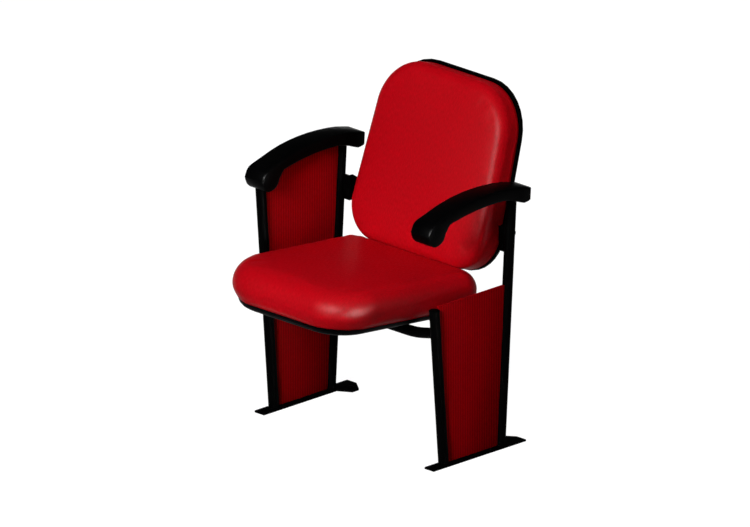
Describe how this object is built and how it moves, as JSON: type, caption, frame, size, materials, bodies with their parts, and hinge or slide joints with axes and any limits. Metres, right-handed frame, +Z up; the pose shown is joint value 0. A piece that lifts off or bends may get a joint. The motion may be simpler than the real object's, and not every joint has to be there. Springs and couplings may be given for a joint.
{
  "type": "tip up auditorium seat",
  "caption": "Floor-fixed tip up auditorium seat with a reclined upholstered back, curved armrests and fabric covered side panels between leaning tube posts.",
  "frame": {"origin": "on the floor, under the middle of the part's box", "axes": "+X across the seat to the sitter's left; +Y to the rear; +Z up from the floor. Left and right in the node names are as seen from the front, so left is -X"},
  "size_m": [0.611, 0.632, 0.8306],
  "materials": {
    "black_steel": "satin black powder coat",
    "black_armrest": "black integral skin foam, fine grain",
    "black_plastic": "black moulded plastic, satin",
    "red_fabric": "bright red fine weave upholstery with a soft sheen",
    "dark_red_fabric": "dark red finely ribbed cloth",
    "plywood": "bare plywood",
    "hardboard": "bare hardboard",
    "zinc_steel": "bright zinc plate",
    "spring_steel": "oiled spring steel",
    "nylon": "natural nylon",
    "rubber": "matte black rubber"
  },
  "bodies": {
    "frame": {"left_foot": "black_steel", "left_front_anchor_bolt": "black_steel", "left_rear_anchor_bolt": "black_steel", "left_front_post": "black_steel", "left_rear_post": "black_steel", "left_panel_board": "hardboard", "left_panel_cover": "dark_red_fabric", "left_front_panel_screw": "zinc_steel", "left_rear_panel_screw": "zinc_steel", "left_armrest": "black_armrest", "left_armrest_bar": "black_steel", "left_front_armrest_screw": "zinc_steel", "left_rear_armrest_screw": "zinc_steel", "left_pivot_rail": "black_steel", "left_pivot_pin": "zinc_steel", "left_tip_stop": "zinc_steel", "left_return_spring": "spring_steel", "left_back_bracket": "black_steel", "right_foot": "black_steel", "right_front_anchor_bolt": "black_steel", "right_rear_anchor_bolt": "black_steel", "right_front_post": "black_steel", "right_rear_post": "black_steel", "right_front_post_cap": "black_plastic", "right_panel_board": "hardboard", "right_panel_cover": "dark_red_fabric", "right_front_panel_screw": "zinc_steel", "right_rear_panel_screw": "zinc_steel", "right_armrest": "black_armrest", "right_armrest_bar": "black_steel", "right_front_armrest_screw": "zinc_steel", "right_rear_armrest_screw": "zinc_steel", "right_pivot_rail": "black_steel", "right_pivot_pin": "zinc_steel", "right_tip_stop": "zinc_steel", "right_return_spring": "spring_steel", "right_back_bracket": "black_steel", "cross_tube": "black_steel", "left_inner_back_bolt": "zinc_steel", "left_outer_back_bolt": "zinc_steel", "right_inner_back_bolt": "zinc_steel", "right_outer_back_bolt": "zinc_steel", "back_shell": "black_plastic", "back_board": "plywood", "back_cushion": "red_fabric"},
    "seat": {"left_seat_arm": "black_steel", "left_pivot_bush": "nylon", "left_front_seat_screw": "zinc_steel", "left_rear_seat_screw": "zinc_steel", "left_seat_buffer": "rubber", "right_seat_arm": "black_steel", "right_pivot_bush": "nylon", "right_front_seat_screw": "zinc_steel", "right_rear_seat_screw": "zinc_steel", "right_seat_buffer": "rubber", "seat_pan": "black_plastic", "seat_board": "plywood", "seat_cushion": "red_fabric"}
  },
  "joints": [
    {"name": "seat_tip", "type": "hinge", "parent": "frame", "child": "seat", "pos_m": [0, 0.0232, 0.345], "axis": [-1, 0, 0], "range_deg": [0, 72], "deforming": ["left_return_spring", "right_return_spring"]}
  ]
}
